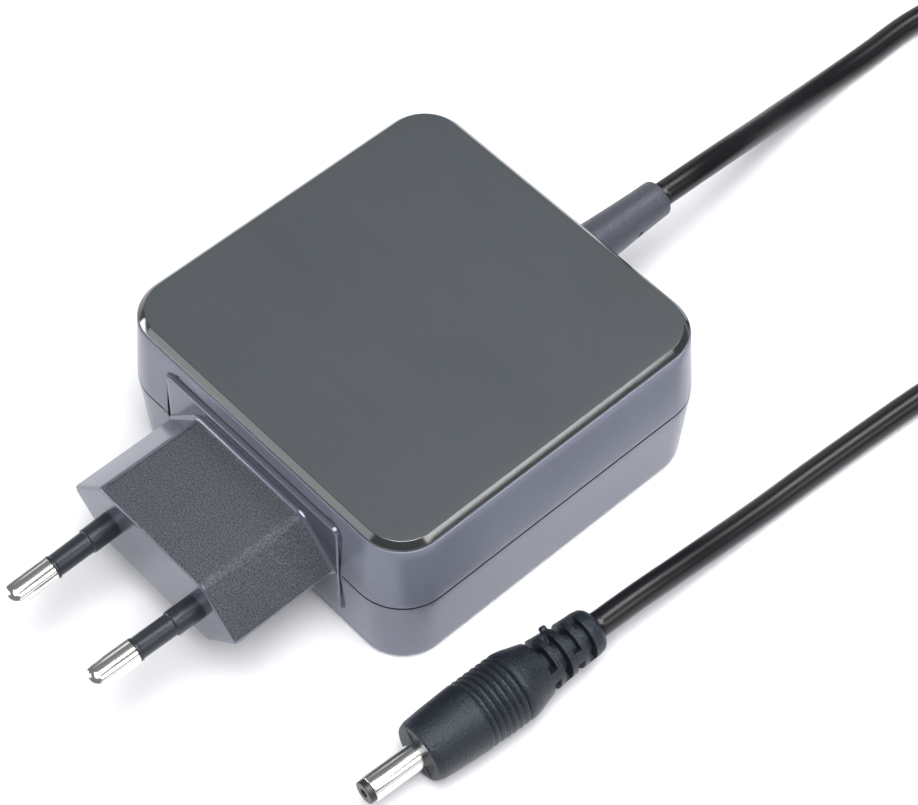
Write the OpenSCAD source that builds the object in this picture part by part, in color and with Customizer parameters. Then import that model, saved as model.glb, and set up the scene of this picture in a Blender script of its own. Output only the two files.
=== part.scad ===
// Square power adapter: a two-shell housing with a bonded cover, a pull-off mains head
// with two round pins, and a low-voltage cord that ends in a round plug.
// Millimetres. The origin is the middle of the underside, +Z is up, the mains pins
// point along -Y and the cord leaves along +Y.

/* [Housing] */
// Width and depth at the parting line
body_w = 62; // [62:0.5:66]
// Overall height with the cover
body_h = 28.5; // [28.5:0.5:31]
// Radius of the upright corners at the parting line
corner_r = 8; // [7:0.5:8.5]
// How far the lower shell leans in towards its floor
lower_lean = 1; // [0.5:0.1:1.2]
// How far the upper shell leans in towards its roof
upper_lean = 0.9; // [0.5:0.1:1]
// Wall thickness of both shells
wall = 2; // [1.8:0.1:2.2]
// Thickness of the cover
cover_t = 1.25; // [1.2:0.05:1.5]
// Width of the bevel round the cover
cover_bevel = 0.9; // [0.7:0.1:1.1]

/* [Mains head] */
// Width of the head's face plate
plate_w = 36.8; // [36:0.2:38]
// Height of the head's face plate
plate_h = 19.6; // [19:0.2:20]
// Width across the side edges of the plug body
plug_w = 35.3; // [34.6:0.1:36]
// Height of the plug body
plug_h = 13.7; // [13:0.1:14.4]
// Length of the plug body in front of the face plate
plug_len = 18.1; // [16:0.1:20]
// Length of each pin in front of the plug body
pin_len = 19; // [18.5:0.1:19.5]
// Diameter of the bare metal of each pin
pin_d = 4; // [3.94:0.02:4.06]
// Distance between the pins where they leave the plug body
pin_pitch = 18.6; // [18.4:0.1:18.8]
// Distance between the pins at their tips
tip_pitch = 17.9; // [17.5:0.1:18]

/* [Cord] */
// Diameter of the cord
cord_d = 4; // [3.8:0.1:4]
// Length of the strain relief outside the housing
boot_len = 19.3; // [18.5:0.1:20]
// Outside diameter of the barrel of the low-voltage plug
barrel_d = 4; // [3.9:0.05:4.05]
// Diameter of the hole in the barrel's tip
tip_hole_d = 1.35; // [1.3:0.05:1.5]

/* [Hidden] */
$fn = 48;

SHELL_GREY = [0.50, 0.51, 0.56];
COVER_SLATE = [0.33, 0.35, 0.37];
HEAD_GREY = [0.36, 0.38, 0.40];
BLACK = [0.10, 0.10, 0.11];
NICKEL = [0.80, 0.79, 0.76];
COPPER = [0.72, 0.45, 0.20];

// Shells
parting_h = 14.5;
arc_c = body_w / 2 - corner_r;
floor_edge = 0.8;
roof_h = body_h - cover_t;
cover_strip = 0.35;
cover_inset = 0.2;
groove = 0.3;
half_w = arc_c + corner_r;
lip_t = 0.8;
lip_h = 1.4;
peg_at = 20;
peg_r = 1.5;

// Mains head, centred on the parting line
fit_gap = 0.3;
plate_t = 2.2;
plate_r = 1.3;
face_y = -half_w;
plate_back = face_y + plate_t;
plug_face = face_y - plug_len;
plug_flat = plug_w - 13.1;
spigot_w = 30;
spigot_h = 12;
spigot_back = -22;
blade_x = 7;
blade_t = 1;
blade_z = 5;
blade_back = -17.2;
root_back = -29.9;
collar_len = 4.4;
sleeve_len = 11;
sleeve_r = 1.7;
neck_r = 1.5;
pin_lean = asin((pin_pitch - tip_pitch) / 2 / pin_len);

// Contact carrier
carrier_w = 39.6;
carrier_front = -27.8;
carrier_back = -14.5;
carrier_top = 23.6;
pad_front = plate_back + 0.1;

// Circuit board and what stands on it
board_z = 4.5;
board_t = 1.6;
deck = board_z + board_t;
board_half = 26.8;
post_at = 23.5;

// Cord: where it leaves the strain relief, and its way over the floor
cord_r = cord_d / 2;
boot_end = face_y * -1 + boot_len;
near_route = [[0, boot_end, parting_h], [0, 58, 14.1], [-0.7, 66, 12.4], [-2, 74, 9.6],
    [-3.5, 82, 6.6], [-4.6, 90, 4.2], [-5.3, 98, 2.6], [-5.5, 106, 2], [-5.5, 115.5, 2],
    [-4, 123, 2.4], [0.2, 129.3, 4], [6.5, 133.5, 6.8], [14, 135, 10.2], [23, 135, 13.4],
    [33, 135, 14.6], [46, 135, 14.6]];
far_route = [[45.1, -6.9, 5.4], [45.4, 2, 5.1], [45.6, 10, 4.2], [45.7, 19, 3], [45.9, 28, 2.2],
    [46.2, 37, 2], [46.8, 48, 2], [47.6, 60, 2], [48.7, 68.4, 2], [52, 76.2, 2],
    [59.3, 85, 2], [64.1, 90, 2.2], [67.7, 95.8, 2.4], [70.2, 102.7, 2.6], [71, 110, 2.6]];
coil_x = 46;
coil_y = 110;
coil_in = 15;
coil_out = 27;
coil_z = 0.6;
coil_h = 16;
tie_t = 0.6;
tie_gap = 0.2;
tie_angle = 22;

// Low-voltage plug: distances run from its cord end towards its tip
plug_start = far_route[0];
plug_turn = -2.9;
grip_len = 31.8;
barrel_end = 40.5;
barrel_in = 1.6;
barrel_root = 26.5;
inner_start = 30.5;
barrel_root_r = barrel_d / 2 - 0.2;
tip_ring_t = 0.9;

// A square block with round corners whose sides lean: its corner radius goes
// from r0 at height z0 to r1 at height z1 about fixed corner centres.
module leaning_block(r0, r1, z0, z1) {
    h = z1 - z0;
    translate([0, 0, z0]) {
        for (x = [-arc_c, arc_c], y = [-arc_c, arc_c])
            translate([x, y, 0]) cylinder(h = h, r1 = r0, r2 = r1);
        for (turn = [0, 90])
            rotate([90, 0, turn])
                linear_extrude(2 * arc_c, center = true)
                    polygon([[-arc_c - r0, 0], [arc_c + r0, 0], [arc_c + r1, h], [-arc_c - r1, h]]);
    }
}

// A rectangle with round corners, centred on the origin
module round_rectangle(w, h, r) {
    square([w - 2 * r, h], center = true);
    square([w, h - 2 * r], center = true);
    for (x = [-1, 1], y = [-1, 1])
        translate([x * (w / 2 - r), y * (h / 2 - r)]) circle(r);
}

// Carries a flat outline, drawn as seen from the front, from depth y0 back to y1
module along_y(y0, y1, z = parting_h) {
    translate([0, y1, z]) rotate([90, 0, 0]) linear_extrude(y1 - y0) children();
}

// A round bar or cone along +Y that starts at p
module bar_y(p, len, r, r2 = undef) {
    translate(p) rotate([-90, 0, 0]) cylinder(h = len, r1 = r, r2 = is_undef(r2) ? r : r2);
}

// A box given by its lowest and highest corners
module box(lo, hi) {
    translate(lo) cube(hi - lo);
}

// The window in the front wall that takes the head's face plate
module head_window() {
    along_y(face_y - 1, face_y + 4) round_rectangle(plate_w + 2 * fit_gap, plate_h + 2 * fit_gap, plate_r + fit_gap);
}

module relief_hole() {
    bar_y([0, half_w - 4, parting_h], 5, 3.6);
}

module lower_shell() {
    r_top = corner_r;
    r_floor = corner_r - lower_lean;
    color(SHELL_GREY) {
        difference() {
            union() {
                leaning_block(r_floor - floor_edge, r_floor, 0, floor_edge);
                leaning_block(r_floor, r_top, floor_edge, parting_h);
                leaning_block(r_top - wall + lip_t, r_top - wall + lip_t, parting_h - 1, parting_h + lip_h);
            }
            leaning_block(r_floor - wall, r_top - wall, wall, parting_h);
            leaning_block(r_top - wall, r_top - wall, parting_h - 0.01, parting_h + lip_h + 1);
            head_window();
            relief_hole();
        }
        for (x = [-post_at, post_at], y = [-post_at, post_at])
            translate([x, y, wall - 0.1]) {
                cylinder(h = board_z - wall + 0.1, r = 2.2);
                cylinder(h = deck - wall + 0.7, r = 0.9);
            }
    }
}

module upper_shell() {
    r_low = corner_r;
    r_roof = corner_r - upper_lean;
    inner_r = r_low - wall;
    roof_in = roof_h - 1.7;
    color(SHELL_GREY) difference() {
        union() {
            leaning_block(r_low - groove, r_low, parting_h, parting_h + groove);
            leaning_block(r_low, r_roof, parting_h + groove, roof_h);
        }
        leaning_block(inner_r, inner_r - upper_lean, parting_h - 0.01, roof_in);
        leaning_block(inner_r + lip_t + 0.1, inner_r + lip_t + 0.1, parting_h - 0.1, parting_h + lip_h + 0.2);
        head_window();
        relief_hole();
        for (x = [-peg_at, peg_at], y = [-peg_at, peg_at])
            translate([x, y, roof_in - 1]) cylinder(h = 4, r = peg_r + 0.1);
    }
}

module top_cover() {
    r_strip = corner_r - upper_lean - cover_inset;
    color(COVER_SLATE) {
        leaning_block(r_strip, r_strip, roof_h, roof_h + cover_strip);
        leaning_block(r_strip, r_strip - cover_bevel, roof_h + cover_strip, body_h);
        for (x = [-peg_at, peg_at], y = [-peg_at, peg_at])
            translate([x, y, roof_h - 1.5]) cylinder(h = 1.6, r = peg_r);
    }
}

// Outline of the plug body: flat top and bottom, sides bevelled to a blunt edge
module plug_outline(extra = 0) {
    w = plug_w / 2 + extra;
    f = plug_flat / 2 + extra;
    h = plug_h / 2 + extra;
    polygon([[w, 0.5], [w, -0.5], [f, -h], [-f, -h], [-w, -0.5], [-w, 0.5], [-f, h], [f, h]]);
}

module plug_head() {
    color(HEAD_GREY) difference() {
        union() {
            along_y(face_y, plate_back) round_rectangle(plate_w, plate_h, plate_r);
            along_y(face_y - 0.6, face_y) plug_outline(0.4);
            along_y(plug_face, face_y) plug_outline();
            along_y(plate_back - 0.1, spigot_back) round_rectangle(spigot_w, spigot_h, 1);
        }
        for (side = [-1, 1]) {
            bar_y([side * pin_pitch / 2, plug_face - 1, parting_h], root_back - plug_face + 1, 1.95);
            box([side * blade_x - 0.6, -30, parting_h - 2.6], [side * blade_x + 0.6, -20, parting_h + 2.6]);
            box([min(side * blade_x, side * 9.3) - 0.6, -30, parting_h - 2.6],
                [max(side * blade_x, side * 9.3) + 0.6, -28, parting_h + 2.6]);
        }
    }
}

// One mains pin: a round rod that leans in a little in front of the plug body,
// a root moulded into the head and a flat blade at the back.
module mains_pin(side) {
    x = side * pin_pitch / 2;
    color(NICKEL) {
        translate([x, plug_face, parting_h]) rotate([0, 0, -side * pin_lean]) {
            bar_y([0, -sleeve_len, 0], sleeve_len + 0.2, neck_r);
            bar_y([0, 1.2 - pin_len, 0], pin_len - 1.2 - sleeve_len, pin_d / 2);
            bar_y([0, -pin_len, 0], 0.5, 0.8, 1.5);
            bar_y([0, 0.5 - pin_len, 0], 0.7, 1.5, pin_d / 2);
        }
        bar_y([x, plug_face, parting_h], root_back - plug_face, 1.9);
        box([min(side * blade_x, x) - blade_t / 2, root_back, parting_h - blade_z / 2],
            [max(side * blade_x, x) + blade_t / 2, root_back + 1.4, parting_h + blade_z / 2]);
        box([side * blade_x - blade_t / 2, root_back, parting_h - blade_z / 2],
            [side * blade_x + blade_t / 2, blade_back, parting_h + blade_z / 2]);
    }
}

// The insulating sleeve of one pin, with its collar and the rim at its end
module pin_sleeve(side) {
    color(BLACK)
        translate([side * pin_pitch / 2, plug_face, parting_h])
            rotate([0, 0, -side * pin_lean])
                rotate([90, 0, 0])
                    rotate_extrude()
                        polygon([[neck_r, 0.05], [1.95, 0.05], [1.95, collar_len], [sleeve_r, collar_len + 0.2],
                            [sleeve_r, sleeve_len - 0.5], [1.8, sleeve_len - 0.2], [1.8, sleeve_len],
                            [neck_r, sleeve_len]]);
}

// The block behind the window that the head's spigot and blades slide into
module contact_carrier() {
    color([0.16, 0.17, 0.18]) difference() {
        union() {
            box([-carrier_w / 2, carrier_front, deck], [carrier_w / 2, carrier_back, carrier_top]);
            along_y(pad_front, carrier_front + 0.1)
                round_rectangle(plate_w + 0.2, plate_h + 0.2, plate_r);
        }
        along_y(pad_front - 1, -21.5) round_rectangle(spigot_w + 0.6, spigot_h + 0.6, 1.2);
        for (side = [-1, 1])
            box([side * blade_x - 2, -22, deck - 1], [side * blade_x + 2, -15.4, 19]);
    }
}

// A folded spring contact: two leaves beside the blade, a back and a tail to the board
module socket_contact(side) {
    color(COPPER) translate([side * blade_x, 0, 0]) {
        for (leaf = [-1, 1])
            box([leaf * 0.9 - 0.2, -21.2, 11.5], [leaf * 0.9 + 0.2, -16, 17.5]);
        box([-1.1, -16.4, 11.5], [1.1, -16, 17.5]);
        box([-0.4, -16.4, board_z - 0.8], [0.4, -16, 12]);
    }
}

module circuit_board() {
    color([0.16, 0.38, 0.20]) difference() {
        translate([0, 0, board_z]) linear_extrude(board_t) round_rectangle(2 * board_half, 2 * board_half, 3);
        for (x = [-post_at, post_at], y = [-post_at, post_at])
            translate([x, y, 0]) cylinder(h = 10, r = 1);
        for (side = [-1, 1])
            box([side * blade_x - 0.6, -16.7, 0], [side * blade_x + 0.6, -15.7, 10]);
    }
}

module fuse() {
    color([0.75, 0.72, 0.62]) bar_y([-23.6, -19.6, deck + 2.6], 8, 2.3);
    color(NICKEL) {
        bar_y([-23.6, -20.6, deck + 2.6], 2, 2.6);
        bar_y([-23.6, -12.6, deck + 2.6], 2, 2.6);
    }
}

module thermistor() {
    color([0.15, 0.30, 0.22]) translate([21.3, -18.6, deck + 4.6]) rotate([0, 90, 0]) cylinder(h = 3.4, r = 4.4);
}

module choke_core() {
    color([0.25, 0.30, 0.26]) translate([-19.3, -3.4, deck + 1]) difference() {
        cylinder(h = 6, r = 6.2);
        translate([0, 0, -1]) cylinder(h = 8, r = 3.4);
    }
}

// Two coils wound round the ring, each over about a third of it
module choke_winding() {
    color(COPPER) translate([-19.3, -3.4, deck + 0.2])
        for (start = [-55, 125])
            rotate([0, 0, start])
                rotate_extrude(angle = 110)
                    difference() {
                        translate([2.6, 0]) square([4.4, 7.6]);
                        translate([3.4, 0.8]) square([2.8, 6]);
                    }
}

module interference_capacitor() {
    color([0.82, 0.70, 0.20]) box([-11, -12.6, deck], [2, -7.4, deck + 11]);
}

module bridge_rectifier() {
    color(BLACK) {
        box([4, -12.6, deck + 1.5], [12, -9.2, deck + 10]);
        for (x = [5, 7, 9, 11])
            box([x - 0.3, -11.2, board_z - 0.6], [x + 0.3, -10.6, deck + 1.6]);
    }
}

module bulk_capacitor() {
    color([0.13, 0.14, 0.20]) {
        bar_y([-19.2, 4.6, deck + 7.6], 21, 7.5);
        bar_y([-19.2, 25.5, deck + 7.6], 0.4, 6.8);
    }
}

// Two E-shaped ferrite halves: three upright legs with a window on each side
module transformer_core() {
    color([0.20, 0.20, 0.21]) difference() {
        box([-9.5, 1.5, deck + 3], [9.5, 9.5, deck + 15]);
        for (side = [-1, 1])
            box([side * 5.2 - 1.9, 0, deck + 5.4], [side * 5.2 + 1.9, 11, deck + 12.6]);
    }
}

module transformer_bobbin() {
    color(BLACK) {
        box([-9.5, -4.8, deck], [9.5, 15.8, deck + 2.8]);
        for (x = [-8, -4, 0, 4, 8], y = [-4, 15])
            box([x - 0.3, y - 0.3, board_z - 0.8], [x + 0.3, y + 0.3, deck + 0.5]);
    }
}

// The wound and taped coil round the middle leg
module transformer_winding() {
    color([0.85, 0.72, 0.15]) difference() {
        box([-7, -3, deck + 5.6], [7, 14, deck + 12.4]);
        box([-3.4, 1.4, deck + 5], [3.4, 9.6, deck + 13]);
    }
}

module primary_heatsink() {
    color([0.72, 0.73, 0.74]) {
        box([12.6, -13.4, deck + 1], [26.4, -12, deck + 16]);
        box([13.6, -13.2, board_z - 0.6], [14.8, -12.2, deck + 1.1]);
        box([24.2, -13.2, board_z - 0.6], [25.4, -12.2, deck + 1.1]);
    }
}

// A flat package with three legs that stands against a heatsink
module power_package(depth) {
    difference() {
        box([-5, 0, 2.4], [5, depth, 17]);
        translate([0, -1, 14.2]) rotate([-90, 0, 0]) cylinder(h = depth + 2, r = 1.6);
    }
    for (x = [-2.54, 0, 2.54])
        box([x - 0.35, 2.2, -2.2], [x + 0.35, 2.8, 2.5]);
}

module switching_transistor() {
    color(BLACK) translate([19.5, -12, deck]) power_package(4.4);
}

module output_rectifier() {
    color(BLACK) translate([25.2, 17.2, deck]) rotate([0, 0, 90]) power_package(4.4);
}

module secondary_heatsink() {
    color([0.72, 0.73, 0.74]) {
        box([25.2, 10, deck + 1], [26.5, 24.4, deck + 16]);
        box([25.3, 11, board_z - 0.6], [26.4, 12.2, deck + 1.1]);
        box([25.3, 22, board_z - 0.6], [26.4, 23.2, deck + 1.1]);
    }
}

module safety_capacitor() {
    color([0.20, 0.35, 0.62]) bar_y([-7.4, 17.4, deck + 4.8], 3.4, 3.9);
}

module optocoupler() {
    color([0.88, 0.88, 0.86]) box([4.6, 18, deck + 0.4], [11, 22.6, deck + 4]);
    color(NICKEL) for (x = [6.5, 9.1], y = [17.6, 22.7])
        box([x - 0.3, y, board_z - 0.6], [x + 0.3, y + 0.3, deck + 2.4]);
}

module insulation_barrier() {
    color([0.88, 0.86, 0.80]) box([10.4, -5.5, deck], [10.8, 16.6, deck + 16]);
}

module output_capacitors() {
    color([0.12, 0.16, 0.14]) for (p = [[15.6, -1.6], [22.2, 3.8]])
        translate([p[0], p[1], deck]) {
            cylinder(h = 15, r = 4);
            translate([0, 0, 15]) cylinder(h = 0.3, r = 3.4);
        }
}

module output_inductor() {
    color([0.22, 0.22, 0.23]) translate([15.4, 12.6, deck]) {
        cylinder(h = 1.4, r = 4);
        cylinder(h = 9, r = 2);
        translate([0, 0, 8]) cylinder(h = 1.4, r = 4);
    }
    color(COPPER) translate([15.4, 12.6, deck + 1.4]) difference() {
        cylinder(h = 6.6, r = 3.6);
        translate([0, 0, -1]) cylinder(h = 9, r = 2.05);
    }
}

// Two wires from the cord's inner end that bend down to the board
module output_wires() {
    bend = 3;
    for (side = [-1, 1])
        color(side < 0 ? [0.75, 0.10, 0.08] : BLACK) translate([side * 1.3, 0, 0]) {
            bar_y([0, 24.6, parting_h], 2.6, 0.7);
            translate([0, 24.6, parting_h - bend]) rotate([90, 0, -90])
                rotate_extrude(angle = 90) translate([bend, 0]) circle(0.7);
            translate([0, 24.6 - bend, board_z - 0.8]) cylinder(h = parting_h - bend - board_z + 0.8, r = 0.7);
        }
}

// Flange inside the wall, neck through it and the tapered sleeve outside
module strain_relief() {
    wall_in = half_w - wall;
    color([0.34, 0.35, 0.39]) translate([0, 0, parting_h]) difference() {
        rotate([-90, 0, 0]) rotate_extrude() polygon([[0, wall_in - 1.8], [5, wall_in - 1.8],
            [5, wall_in - 0.5], [3.5, wall_in - 0.5], [3.5, half_w + 0.05], [4.2, half_w + 0.05],
            [4.2, half_w + 1], [3.85, half_w + 2.2], [3.6, half_w + 6], [3.3, half_w + 11.5],
            [3.1, half_w + 16], [3, boot_end - 0.8], [2.85, boot_end - 0.25], [2.5, boot_end], [0, boot_end]]);
        rotate([0, 98, 0]) translate([0, boot_end - 6.9, 2.6]) cylinder(h = 3, r = 0.5);
    }
}

// A tube swept through the points of a route, with eight sides
function unit(v) = v / norm(v);
function heading(route, i) = unit(route[min(i + 1, len(route) - 1)] - route[max(i - 1, 0)]);
function ring_points(route, i) =
    let (d = heading(route, i), s = unit(cross(d, [0, 0, 1])), u = cross(s, d))
    [for (k = [0 : 7]) route[i] + cord_r * (cos(45 * k) * s + sin(45 * k) * u)];
module swept_cord(route) {
    n = len(route);
    points = [for (i = [0 : n - 1]) each ring_points(route, i)];
    sides = [for (i = [0 : n - 2], k = [0 : 7])
        [8 * i + k, 8 * i + 8 + k, 8 * i + 8 + (k + 1) % 8, 8 * i + (k + 1) % 8]];
    ends = [[for (k = [0 : 7]) k], [for (k = [7 : -1 : 0]) 8 * (n - 1) + k]];
    polyhedron(points, concat(sides, ends));
}

module cord_near_run() {
    color(BLACK) swept_cord(near_route);
}

module cord_far_run() {
    color(BLACK) swept_cord(far_route);
}

module cord_coil() {
    color(BLACK) translate([coil_x, coil_y, coil_z]) rotate_extrude()
        polygon([[coil_in + 1, 0], [coil_out - 1, 0], [coil_out, 1], [coil_out, coil_h - 1],
            [coil_out - 1, coil_h], [coil_in + 1, coil_h], [coil_in, coil_h - 1], [coil_in, 1]]);
}

module coil_tie() {
    gap = tie_gap;
    t = tie_t + tie_gap;
    color([0.18, 0.18, 0.20]) translate([coil_x, coil_y, coil_z]) rotate([0, 0, 225 - tie_angle / 2])
        rotate_extrude(angle = tie_angle) difference() {
            translate([coil_in - t, -tie_t]) square([coil_out - coil_in + 2 * t, coil_h + 2 * tie_t]);
            translate([coil_in - gap, 0]) square([coil_out - coil_in + 2 * gap, coil_h]);
        }
}

// Puts a piece drawn about the Z axis, cord end at 0, in the plug's place
module on_plug_axis() {
    translate(plug_start) rotate([0, 0, plug_turn]) rotate([90, 0, 0]) children();
}

// One slot of the plug's strain relief, cut all round but for two bridges
module relief_slot(at, bridge_angle) {
    difference() {
        translate([0, 0, at - 0.65]) difference() {
            cylinder(h = 1.3, r = 5);
            translate([0, 0, -1]) cylinder(h = 4, r = 2.5);
        }
        rotate([0, 0, bridge_angle]) translate([-6, -1.1, at - 1]) cube([12, 2.2, 2]);
    }
}

module low_voltage_plug() {
    rib_first = 16;
    rib_step = 1.1;
    color(BLACK) on_plug_axis() difference() {
        union() {
            rotate_extrude() polygon([[0, 0], [3, 0], [3.45, 0.5], [3.6, 1.5], [3.7, 5], [3.95, 8], [4.15, 10],
                [4.35, 11], [4.75, 12.4], [5.15, 13.6], [5.4, 14.8], [5.4, 16], [5.4, 22.8], [5.25, 23.8],
                [4.85, 30.6], [4.35, grip_len], [0, grip_len]]);
            rotate([0, 0, 152]) translate([3.4, 0, 6.3]) rotate([0, 90, 0]) cylinder(h = 1.2, r = 0.6);
        }
        for (k = [0 : 5])
            translate([0, 0, rib_first + k * rib_step]) rotate_extrude()
                polygon([[5.15, 0.2], [5.7, 0], [5.7, 0.6], [5.15, 0.4]]);
        relief_slot(2.9, 138);
        relief_slot(5.2, 28);
        relief_slot(7.6, 138);
        relief_slot(9.9, 28);
        translate([0, 0, barrel_root]) cylinder(h = 6, r = barrel_root_r);
    }
}

module plug_barrel() {
    color(NICKEL) on_plug_axis() difference() {
        union() {
            translate([0, 0, barrel_root]) cylinder(h = barrel_end - barrel_root, r = barrel_root_r);
            translate([0, 0, grip_len]) cylinder(h = barrel_end - grip_len, r = barrel_d / 2);
        }
        translate([0, 0, barrel_root - 1]) cylinder(h = 20, r = barrel_in);
    }
}

module tip_insulator() {
    bore_r = 0.95;
    color(BLACK) on_plug_axis() rotate_extrude() polygon([[bore_r, inner_start], [barrel_in, inner_start],
        [barrel_in, barrel_end], [1.8, barrel_end], [1.8, barrel_end + tip_ring_t],
        [tip_hole_d / 2, barrel_end + tip_ring_t], [tip_hole_d / 2, barrel_end - 0.6], [bore_r, barrel_end - 0.6]]);
}

module centre_contact() {
    color(NICKEL) on_plug_axis() translate([0, 0, inner_start]) difference() {
        cylinder(h = barrel_end - inner_start - 0.6, r = 0.95);
        translate([0, 0, 1]) cylinder(h = 12, r = tip_hole_d / 2);
    }
}

lower_shell();
upper_shell();
top_cover();
plug_head();
mains_pin(-1);  // mains_pin_left
mains_pin(1);  // mains_pin_right
pin_sleeve(-1);  // pin_sleeve_left
pin_sleeve(1);  // pin_sleeve_right
contact_carrier();
socket_contact(-1);  // socket_contact_left
socket_contact(1);  // socket_contact_right
circuit_board();
fuse();
thermistor();
choke_core();
choke_winding();
interference_capacitor();
bridge_rectifier();
bulk_capacitor();
transformer_core();
transformer_bobbin();
transformer_winding();
switching_transistor();
primary_heatsink();
safety_capacitor();
optocoupler();
insulation_barrier();
output_rectifier();
secondary_heatsink();
output_capacitors();
output_inductor();
output_wires();
strain_relief();
cord_near_run();
cord_coil();
cord_far_run();
coil_tie();
low_voltage_plug();
plug_barrel();
tip_insulator();
centre_contact();
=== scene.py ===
"""Square power adapter: smooth moulded shells, a mains head with two pins, a cord with a coil
and the low-voltage plug.

Lengths in this script are millimetres until a mesh is made, which is in metres. Every
surface is a grid of points: a closed outline (or a circle) carried through a profile.
"""
import math
import bpy
import numpy as np
from mathutils import Matrix


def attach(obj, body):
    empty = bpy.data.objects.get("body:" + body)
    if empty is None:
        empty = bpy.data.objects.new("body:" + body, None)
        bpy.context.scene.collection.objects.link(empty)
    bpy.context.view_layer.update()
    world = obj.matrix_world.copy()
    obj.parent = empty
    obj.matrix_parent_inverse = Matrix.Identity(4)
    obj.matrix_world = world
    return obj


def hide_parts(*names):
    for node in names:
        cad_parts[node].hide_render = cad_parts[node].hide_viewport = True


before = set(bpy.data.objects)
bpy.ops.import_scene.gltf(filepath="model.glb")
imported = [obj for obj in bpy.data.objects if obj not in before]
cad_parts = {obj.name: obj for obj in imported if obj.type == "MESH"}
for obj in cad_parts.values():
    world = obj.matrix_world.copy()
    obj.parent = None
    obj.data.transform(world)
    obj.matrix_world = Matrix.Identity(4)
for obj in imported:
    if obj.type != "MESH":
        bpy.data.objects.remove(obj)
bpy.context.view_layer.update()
HOUSING, HEAD = "housing", "mains_head"

# ---------------------------------------------------------------- sizes, in millimetres
ARC = 23.0                      # corner centres of the housing, from its middle
R_PART = 8.0                    # corner radius at the parting line
PART_Z, ROOF_Z = 14.5, 27.25    # heights of the parting line and of the upper shell's roof
WALL, RIM = 2.0, 0.28           # wall of both shells, and the rounding of its edges
LOWER_LEAN = 1 / 13.7           # how far a wall leans in for each millimetre from the parting line
UPPER_LEAN = 0.9 / 12.75
WINDOW = (18.7, 10.1, 1.6)      # half width, half height and corner radius
CORD_HOLE_R = 3.6
COVER_LOW, COVER_TOP = 27.27, 28.5
COVER_HALF, COVER_BEVEL = 29.9, 0.9
HEAD_FRONT = 49.1               # front face of the plug body, from the housing's middle
PIN_OUT, PIN_R, PIN_CORE_R = 9.3, 2.0, 1.5
PIN_LEAN = math.asin(0.35 / 19)
RELIEF_END = 50.3               # end of the strain relief, from the housing's middle
VENT_AT, VENT_TURN = 43.4, math.radians(-8)
CORD_R = 2.0
COIL_X, COIL_Y = 46, 110        # middle of the cord's coil
PLUG_START = np.array([45.1, -6.9, 5.4])
PLUG_TURN = math.radians(-2.9)
GRIP_END, BARREL_END = 31.8, 40.5   # ends of the low-voltage plug's grip and barrel, from its start
BARREL_R, BARREL_IN, TIP_HOLE_R = 2.0, 1.6, 0.675
SLOTS = [(2.9, 138), (5.2, 28), (7.6, 138), (9.9, 28)]   # place along the grip, and turn of the bridges
SLOT_HALF, SLOT_FLOOR, SLOT_EASE = 0.64, 2.55, 0.09
RIBS, RIB_STEP = (15.6, 22.4), 1.1  # where the fine rings of the grip begin and end, and their spacing


# ---------------------------------------------------------------- camera
def make_camera():
    """A long lens that looks down on the part from its front right."""
    azimuth, elevation, roll = (math.radians(a) for a in (46.795, 53.785, 0.685))
    right = np.array([math.cos(azimuth), math.sin(azimuth), 0.0])
    forward = np.array([-math.sin(azimuth) * math.cos(elevation), math.cos(azimuth) * math.cos(elevation),
                        -math.sin(elevation)])
    up = np.cross(right, forward)
    across = math.cos(roll) * right + math.sin(roll) * up
    upward = math.cos(roll) * up - math.sin(roll) * right
    camera = bpy.data.objects.new("camera", bpy.data.cameras.new("camera"))
    camera.data.lens, camera.data.sensor_width = 118.5, 36.0
    place = np.eye(4)
    place[:3, 0], place[:3, 1], place[:3, 2] = across, upward, -forward
    place[:3, 3] = np.array([197.174, -176.139, 368.737]) * 0.001
    camera.matrix_world = Matrix(place.tolist())
    bpy.context.scene.collection.objects.link(camera)
    bpy.context.scene.camera = camera


# ---------------------------------------------------------------- curves and outlines
def fillet(points, radii, steps=5, closed=False):
    """A polyline with its corners rounded: each corner is replaced by steps + 1 points of the
    circle of the given radius that touches both of its sides."""
    points = np.asarray(points, float)
    count, out = len(points), []
    for i in range(count):
        r = radii[i] if np.ndim(radii) else radii
        if (not closed and i in (0, count - 1)) or r <= 0:
            out.append(points[i][None])
            continue
        p, a, b = points[i], points[i - 1], points[(i + 1) % count]
        da, db = (a - p) / np.linalg.norm(a - p), (b - p) / np.linalg.norm(b - p)
        half = math.acos(float(np.clip(da @ db, -1, 1))) / 2
        reach = min(r / math.tan(half), 0.49 * min(np.linalg.norm(a - p), np.linalg.norm(b - p)))
        r = reach * math.tan(half)
        middle = p + (da + db) / np.linalg.norm(da + db) * r / math.sin(half)
        start, end = p + da * reach - middle, p + db * reach - middle
        turn = math.pi - 2 * half
        t = np.linspace(0, 1, steps + 1)[:, None]
        out.append(middle + (np.sin((1 - t) * turn) * start + np.sin(t * turn) * end) / math.sin(turn))
    return np.concatenate(out)


def square_outline(half, corner, per_corner=14, sides=10):
    """Points round a square with round corners, anticlockwise from the +X side. Every outline
    has the same number of points, so that outlines can be joined ring to ring."""
    c = half - corner
    out = []
    for k in range(4):
        arc = np.linspace(0, math.pi / 2, per_corner + 1)
        side = np.linspace(-c, c, sides + 1)[1:-1]
        ring = np.concatenate([
            np.column_stack([np.full(len(side), half), side]),
            np.column_stack([c + corner * np.cos(arc), c + corner * np.sin(arc)])])
        a = k * math.pi / 2
        spin = np.array([[math.cos(a), math.sin(a)], [-math.sin(a), math.cos(a)]])
        out.append(ring @ spin)
    return np.concatenate(out)


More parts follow.
